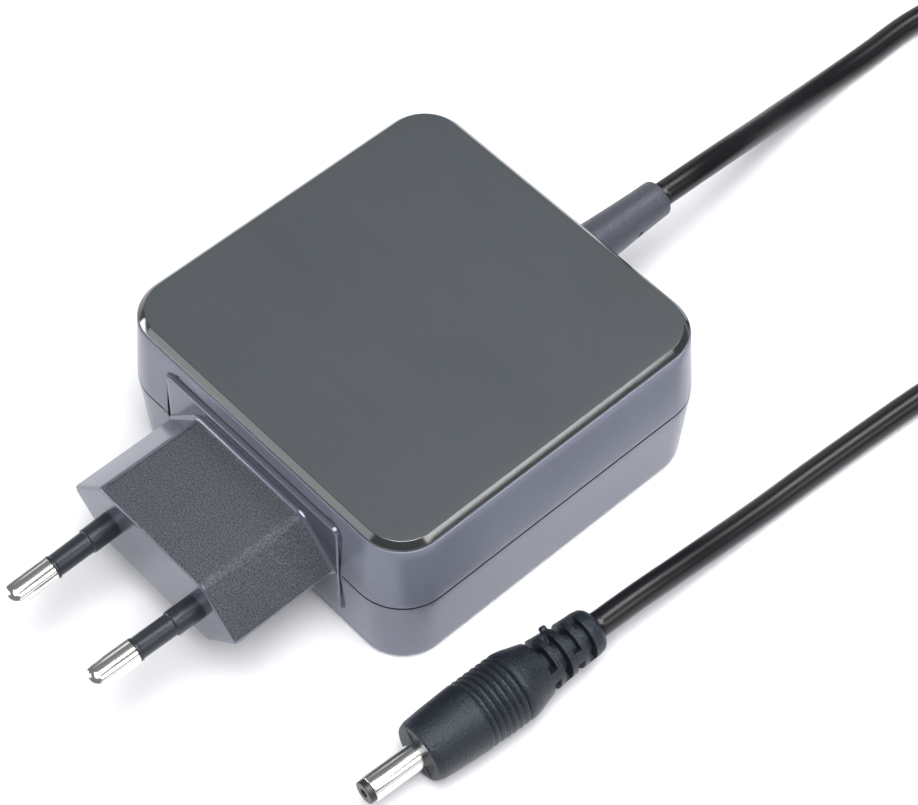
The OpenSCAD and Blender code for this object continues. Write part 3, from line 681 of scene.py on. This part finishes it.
def make_head():
    """Face plate, plug body and the spigot behind them. The plug body has a soft lip at both ends,
    and its two upper facets on the right are grained."""
    plate = front_stack(plate_outline, [(28.8, 0.0), (30.75, 0.0), (30.9, 0.05), (31.0, 0.2)],
                        (0.3, 0.8), (0.97, 0.9, 0.5))
    body = front_stack(plug_outline,
                       [(30.6, 0.55), (31.15, 0.55), (31.3, 0.5), (31.42, 0.3), (31.6, 0.12), (32.0, 0.02),
                        (33.0, 0.0), (38.0, 0.0), (44.0, 0.0), (48.35, 0.0), (48.75, -0.04), (48.98, -0.16),
                        (49.08, -0.34), (HEAD_FRONT, -0.6)], (0.3, 0.8), (0.9, 0.6, 0.25))
    spigot = front_stack(lambda inset: oblong(15 - inset, 6 - inset, 1.0, steps=5),
                         [(29.2, 0), (22.6, 0), (22.15, 0.15), (22, 0.5)], (0.3, 0.8), (0.8, 0.3))
    obj = make_piece("mains_head_body", [plate, body, spigot], HEAD, head_smooth, ["plug_head"],
                     sharp=40)
    paint(obj, head_grain, lambda c, n: (n[:, 2] > 0.5) & (n[:, 0] > -0.3) & (c[:, 1] < -31.4)
          & (np.abs(n[:, 1]) < 0.5))


def pin_place(side):
    """Carries a part drawn along its own axis to a pin, which leans in a little."""
    return lying_along(np.array([side * PIN_OUT, -HEAD_FRONT, PART_Z]), -side * PIN_LEAN)


def lying_along(start, turn):
    """Carries a part drawn along its own axis to a level line from start, turned from -Y."""
    ahead = np.array([math.sin(turn), -math.cos(turn), 0])
    across = np.array([math.cos(turn), math.sin(turn), 0])
    return lambda p: start + p[..., :1] * across + p[..., 1:2] * [0, 0, 1] + p[..., 2:] * ahead


def make_pins():
    """Each pin is a rod that swells at the end of its sleeve and ends in a dome, with a flat blade
    behind; its sleeve has a thicker collar at the root."""
    r, core = PIN_R, PIN_CORE_R
    rod = [(-0.5, core), (0, core), (10.9, core), (11.02, 1.55), (11.05, 1.92), (11.14, r), (12.5, r),
           (15, r), (17.3, r)]
    rod += [(17.3 + 1.7 * math.sin(t), r * math.cos(t)) for t in np.linspace(0, 1.5, 12)[1:]]
    collar = fillet([(-0.2, core), (-0.2, 1.95), (4.35, 1.93), (4.6, 1.72), (10.35, 1.69), (10.5, 1.84),
                     (11.0, 1.84), (11.0, core)], [0, 0.05, 0.25, 0.25, 0.08, 0.1, 0.12, 0.05], steps=4,
                    closed=True)
    for side, label in ((-1, "left"), (1, "right")):
        place = pin_place(side)
        blade = box_grid((side * 7 - 0.5, -29.9, 12.0), (side * 7 + 0.5, -17.2, 17.0))
        make_piece(f"pin_metal_{label}", [turned_part(rod, 72, place), blade], HEAD, nickel,
                   [f"mains_pin_{label}"], sharp=40)
        make_piece(f"pin_sleeve_cover_{label}", [ring_solid(collar, 72, place)], HEAD, sleeve_plastic,
                   [f"pin_sleeve_{label}"], sharp=50)


def box_grid(low, high, edge=0.12):
    """A box as a lofted rectangle with its edges eased."""
    low, high = np.asarray(low, float), np.asarray(high, float)
    half, mid = (high - low) / 2, (high + low) / 2
    rings = [np.column_stack([oblong(half[0] - i, half[1] - i, edge, steps=3) + mid[:2], np.full(16, z)])
             for z, i in ((low[2], edge), (low[2] + edge, 0), (high[2] - edge, 0), (high[2], edge))]
    return wrapped_grid(np.stack(rings))


# ---------------------------------------------------------------- strain relief
def make_relief():
    """A tapered sleeve turned about +Y, with a small round vent sunk in its right side."""
    profile = fillet([(27.2, 2.4), (27.2, 5.0), (28.5, 5.0), (28.5, 3.45), (31.1, 3.45), (31.1, 4.15),
                      (32.1, 4.1), (33.2, 3.85), (37, 3.58), (42.5, 3.28), (46, 3.12), (48.6, 3.04),
                      (RELIEF_END, 3.0), (RELIEF_END, CORD_R + 0.02)],
                     [0, 0.2, 0.2, 0.1, 0.1, 0.15, 0.3, 1.0, 4, 4, 2, 1, 0.45, 0], steps=5)
    fine = np.linspace(VENT_AT - 0.95, VENT_AT + 0.95, 22)
    before, after = profile[profile[:, 0] < fine[0] - 0.1], profile[profile[:, 0] > fine[-1] + 0.1]
    middle = np.column_stack([fine, np.interp(fine, profile[12:-8, 0], profile[12:-8, 1])])
    profile = np.vstack([before, middle, after])
    spread = VENT_TURN + np.array([-0.34, 0.34])
    angles = np.concatenate([np.linspace(*spread, 24, endpoint=False),
                             np.linspace(spread[1], 2 * math.pi + spread[0], 56, endpoint=False)])

    def vent(s, a, r):
        off = np.hypot(s - VENT_AT, (a - VENT_TURN) * 3.2)
        return s, r - 0.8 * smooth_step((0.52 - off) / 0.12)

    def place(p):
        return np.stack([p[..., 0], p[..., 2], p[..., 1] + PART_Z], -1)
    make_piece("cord_strain_relief", [turned_part(profile, angles, place, vent)], HOUSING, relief_plastic,
               ["strain_relief"], sharp=45)


# ---------------------------------------------------------------- low-voltage plug
plug_place = lying_along(PLUG_START, PLUG_TURN)


def step_up(x, edge, ease):
    """0 below an edge and 1 above it, with a smooth change over its ease."""
    return smooth_step((x - edge) / ease + 0.5)


def grip_shape(s, a, r):
    """Sinks the four slots, but for the two bridges of each, and the fine rings of the waist, and
    sets one half of the end face a little back."""
    for at, turn in SLOTS:
        inside = step_up(s, at - SLOT_HALF, SLOT_EASE) * (1 - step_up(s, at + SLOT_HALF, SLOT_EASE))
        off = np.abs(np.sin(a - math.radians(turn))) * r
        r = r + (np.minimum(r, SLOT_FLOOR) - r) * inside * step_up(off, 1.05, 0.25)
    wave = 0.5 - 0.5 * np.cos((s - RIBS[0] - 0.1) / RIB_STEP * 2 * math.pi)
    r = r - 0.32 * (1 - wave ** 0.55) * step_up(s, RIBS[0], 0.2) * (1 - step_up(s, RIBS[1], 0.2))
    half = np.cos(a - math.radians(-48.7) - math.pi / 2) > 0
    return s - 0.14 * half * (s > GRIP_END - 0.05) * (r < 3.9), r


def grip_profile():
    """The grip's outline as rows of (distance along the axis, radius), with more rows where the slots
    and the fine rings need them."""
    low = CORD_R + 0.02
    profile = fillet([(0, low), (0, 3.1), (0.5, 3.45), (1.5, 3.62), (5, 3.74), (8, 3.95), (10, 4.13),
                      (12.4, 4.8), (13.6, 5.17), (14.8, 5.39), (19, 5.38), (22.8, 5.3), (28, 5.02),
                      (30.8, 4.82), (GRIP_END, 4.45), (GRIP_END, 3.3), (GRIP_END, low)],
                     [0, 0.25, 0.4, 1, 3, 3, 3, 2, 2, 1.6, 4, 4, 4, 1.0, 0.35, 0, 0], steps=5)
    edges = [at + side * SLOT_HALF + k * SLOT_EASE for at, _ in SLOTS for side in (-1, 1)
             for k in (-0.5, -0.2, 0.2, 0.5)]
    extra = np.concatenate([sorted(edges), np.arange(1, 15.5, 0.5), np.arange(RIBS[0], 22.5, 0.11),
                            np.arange(23.2, 31.4, 0.8)])
    inner = profile[(profile[:, 0] > 0) & (profile[:, 0] < GRIP_END)]
    extra = extra[np.abs(extra[:, None] - inner[None, :, 0]).min(1) > 0.015]
    middle = np.vstack([inner, np.column_stack([extra, np.interp(extra, inner[:, 0], inner[:, 1])])])
    middle = middle[np.argsort(middle[:, 0], kind="stable")]
    return np.vstack([profile[profile[:, 0] <= 0], middle, profile[profile[:, 0] >= GRIP_END]])


def make_low_voltage_plug():
    """The grip with its index nub, and inside one another the barrel, the tip ring and the contact."""
    t = np.linspace(0, math.pi / 2, 6)
    nub = [(3.2, 0.6)] + [(4.15 + 0.35 * math.sin(v), 0.22 + 0.38 * math.cos(v)) for v in t]
    (out, side), nub_at = spokes(math.radians(152)), 6.3

    def nub_place(p):
        return plug_place(p[..., 2:] * out + p[..., :1] * side + p[..., 1:2] * [0, 0, 1] + [0, 0, nub_at])
    grip = make_piece("low_voltage_grip", [turned_part(grip_profile(), 160, plug_place, grip_shape),
                                           turned_part(nub, 24, nub_place)],
                      HOUSING, plug_plastic, ["low_voltage_plug"], sharp=50)
    end, hole = BARREL_END, TIP_HOLE_R
    barrel = fillet([(end - 11, BARREL_IN), (end - 11, BARREL_R), (end, BARREL_R), (end, BARREL_IN)],
                    [0, 0, 0.12, 0], steps=4, closed=True)
    tip = fillet([(end - 1, hole), (end - 1, BARREL_IN), (end + 0.02, BARREL_IN), (end + 0.02, 1.8),
                  (end + 0.9, 1.78), (end + 0.9, hole)], [0, 0, 0, 0, 0.16, 0.1], steps=4, closed=True)
    contact = fillet([(end - 9, hole), (end - 9, 0.93), (end - 0.7, 0.93), (end - 0.7, hole)], 0.03, steps=2,
                     closed=True)
    rings = [("barrel_metal", barrel, 72, satin_nickel, "plug_barrel", "nickel_plate"),
             ("tip_ring", tip, 64, tip_plastic, "tip_insulator", "plug_plastic"),
             ("tip_contact", contact, 48, nickel, "centre_contact", "nickel_plate")]
    return [grip] + [make_piece(name, [ring_solid(profile, sides, plug_place)], HOUSING, material, [node],
                                sharp=40) for name, profile, sides, material, node, slot in rings]


# ---------------------------------------------------------------- cord and tie
def make_cord(end_pieces):
    """The cord as one tube from the strain relief through the coil to the low-voltage plug."""
    path = np.vstack([smooth_route(NEAR, 6)[:-1], coil_route(), smooth_route(FAR, 6)[::-1][1:]])
    cord = make_piece("low_voltage_cord", [tube(path, CORD_R)], HOUSING, cord_jacket,
                      ["cord_near_run", "cord_coil", "cord_far_run"])
    make_tie()


def make_tie():
    """A strap round the coil's section: a crowned, 8 mm wide section carried round a rounded oblong."""
    mid_r, mid_z, half_width, angle = 21.0, 8.6, 4, math.radians(225)
    loop = oblong(6.35, 8.35, 1.9, steps=10)
    spread = np.linspace(-1, 1, 15)
    crown = 0.32 * (1 - spread ** 4) ** 0.5 + 0.02
    out, side = spokes(angle)
    centre = np.array([COIL_X, COIL_Y, mid_z]) + mid_r * out
    ahead = np.roll(loop, -1, 0) - np.roll(loop, 1, 0)
    normal = np.column_stack([ahead[:, 1], -ahead[:, 0]]) / np.linalg.norm(ahead, axis=1)[:, None]
    section = np.concatenate([np.column_stack([spread * half_width, crown]),
                              np.column_stack([spread[::-1][1:-1] * half_width, -crown[1:-1] * 0.3])])
    rings = (centre + (loop[:, None, :1] + normal[:, None, :1] * section[None, :, 1:]) * out
             + (loop[:, None, 1:] + normal[:, None, 1:] * section[None, :, 1:]) * [0, 0, 1]
             + section[None, :, :1] * side)
    return make_piece("coil_strap", [closed_loop(rings)], HOUSING, tie_strap, ["coil_tie"],
                      sharp=60)


# ---------------------------------------------------------------- inner parts
carrier_plastic = moulded("carrier plastic", (0.020, 0.021, 0.023), (0.026, 0.027, 0.029), 0.40, 0.55,
                          3400, 0.3, 0.1)
contact_metal = metal("spring bronze", (0.78, 0.50, 0.26), (0.45, 0.26, 0.14), 0.22, 0.45)
epoxy_green = moulded("board laminate", (0.020, 0.085, 0.035), (0.028, 0.10, 0.045), 0.22, 0.40,
                      1500, 0.15, 0.1, coat=0.3)
fuse_body = moulded("fuse ceramic", (0.55, 0.50, 0.40), (0.60, 0.56, 0.46), 0.30, 0.45, 2500, 0.1, 0.05)
dipped_blue = moulded("dipped coating", (0.03, 0.10, 0.28), (0.04, 0.13, 0.33), 0.18, 0.30, 900, 0.3, 0.05,
                      coat=0.5)
dipped_green = moulded("dipped green", (0.02, 0.10, 0.06), (0.03, 0.13, 0.08), 0.20, 0.32, 900, 0.3, 0.05,
                       coat=0.5)
ferrite = moulded("ferrite", (0.035, 0.035, 0.037), (0.05, 0.05, 0.052), 0.45, 0.65, 2600, 0.3, 0.25)
yellow_box = moulded("yellow case", (0.62, 0.42, 0.05), (0.55, 0.37, 0.045), 0.25, 0.38, 2600, 0.1, 0.04)
package_black = moulded("package black", (0.02, 0.02, 0.022), (0.028, 0.028, 0.03), 0.42, 0.60,
                        4200, 0.35, 0.2)
package_white = moulded("package white", (0.62, 0.61, 0.58), (0.56, 0.55, 0.52), 0.40, 0.55,
                        4200, 0.25, 0.08)
can_sleeve = moulded("can sleeve", (0.015, 0.02, 0.05), (0.02, 0.026, 0.06), 0.20, 0.32, 1500, 0.1, 0.05,
                     coat=0.3)
barrier_sheet = moulded("barrier sheet", (0.60, 0.58, 0.50), (0.55, 0.53, 0.46), 0.50, 0.65, 2200, 0.3, 0.08)
wire_cover = moulded("wire insulation", (0.35, 0.02, 0.015), (0.30, 0.018, 0.013), 0.25, 0.36,
                     1800, 0.1, 0.05)
sheet_metal = metal("sheet aluminium", (0.72, 0.73, 0.74), (0.60, 0.61, 0.62), 0.25, 0.42,
                    rings=(9000, 300, 300), bump=0.2)
# COPPER_SHADE is painted shade for the hollows between turns of wire.
COPPER, COPPER_SHADE = (0.50, 0.20, 0.06), (0.12, 0.04, 0.015)
wound_wire = ridged("wound wire", COPPER, COPPER_SHADE, 0.20, 0.34, (0, 0, 1), 1400.0, 0.7)
wound_ring = ridged("wound ring", COPPER, COPPER_SHADE, 0.20, 0.34, (0, 1, 0), 1300.0, 0.7)
winding_tape = ridged("winding tape", (0.68, 0.45, 0.04), (0.50, 0.32, 0.03), 0.24, 0.36, (0, 0, 1),
                      300.0, 0.3)

INNER = {
    "contact_carrier": carrier_plastic, "socket_contact_left": contact_metal,
    "socket_contact_right": contact_metal, "circuit_board": epoxy_green, "fuse": fuse_body,
    "thermistor": dipped_green, "choke_core": ferrite, "choke_winding": wound_ring,
    "interference_capacitor": yellow_box, "bridge_rectifier": package_black,
    "bulk_capacitor": can_sleeve, "transformer_core": ferrite, "transformer_bobbin": package_black,
    "transformer_winding": winding_tape, "switching_transistor": package_black,
    "primary_heatsink": sheet_metal, "safety_capacitor": dipped_blue, "optocoupler": package_white,
    "insulation_barrier": barrier_sheet, "output_rectifier": package_black,
    "secondary_heatsink": sheet_metal, "output_capacitors": can_sleeve, "output_inductor": wound_wire,
    "output_wires": wire_cover,
}


def dress_inner_parts():
    """The inner parts keep their own shapes and get their own finishes."""
    for name, material in INNER.items():
        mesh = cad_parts[name].data
        mesh.materials.clear()
        mesh.materials.append(material)


# ---------------------------------------------------------------- floor and light
# name, place in metres, width, height and watts; each faces the object
LIGHTS = [("overhead box", (0.30, -0.22, 1.00), 0.8, 0.8, 19.0),
          ("front box", (-0.45, -0.85, 0.42), 0.5, 0.35, 0.9),
          ("side box", (0.85, 0.30, 0.62), 0.5, 0.35, 2.4),
          ("back box", (0.05, 0.46, 0.89), 0.35, 0.35, 3.6),
          ("left box", (-0.77, 0.45, 0.45), 0.5, 0.5, 0.8),
          ("low front box", (-0.80, -0.80, 0.14), 0.7, 0.2, 4.6),
          ("low side box", (1.05, 0.05, 0.16), 0.7, 0.2, 0.5)]


def make_stage():
    """A pale floor, a dim even surround and the soft boxes."""
    size, below = 3.0, -0.00005
    mesh = bpy.data.meshes.new("floor")
    mesh.from_pydata([(x * size, y * size, below) for x, y in ((-1, -1), (1, -1), (1, 1), (-1, 1))], [],
                     [(0, 1, 2, 3)])
    mesh.materials.append(moulded("floor", (0.68, 0.68, 0.70), (0.68, 0.68, 0.70), 0.5, 0.6, 400, 0.02, 0.0))
    floor = bpy.data.objects.new("floor", mesh)
    bpy.context.scene.collection.objects.link(floor)
    world = bpy.data.worlds.new("surround")
    bpy.context.scene.world = world
    world.use_nodes = True
    surround = world.node_tree.nodes["Background"].inputs
    surround["Color"].default_value = (0.93, 0.96, 1.0, 1)
    surround["Strength"].default_value = 0.22
    for light in LIGHTS:
        soft_box(*light)
    bpy.context.scene.view_settings.view_transform = "Standard"


def soft_box(name, place, width, height, power):
    """A rectangular light that faces the object."""
    light = bpy.data.lights.new(name, "AREA")
    light.shape, light.size, light.size_y, light.energy = "RECTANGLE", width, height, power
    obj = bpy.data.objects.new(name, light)
    back = np.array(place) / np.linalg.norm(place)
    side = np.cross([0, 0, 1], back)
    side /= np.linalg.norm(side)
    turn = np.eye(4)
    turn[:3, 0], turn[:3, 1], turn[:3, 2], turn[:3, 3] = side, np.cross(back, side), back, place
    obj.matrix_world = Matrix(turn.tolist())
    bpy.context.scene.collection.objects.link(obj)


make_camera()
make_shells()
make_cover()
make_head()
make_pins()
make_relief()
make_cord(make_low_voltage_plug())
dress_inner_parts()
make_stage()
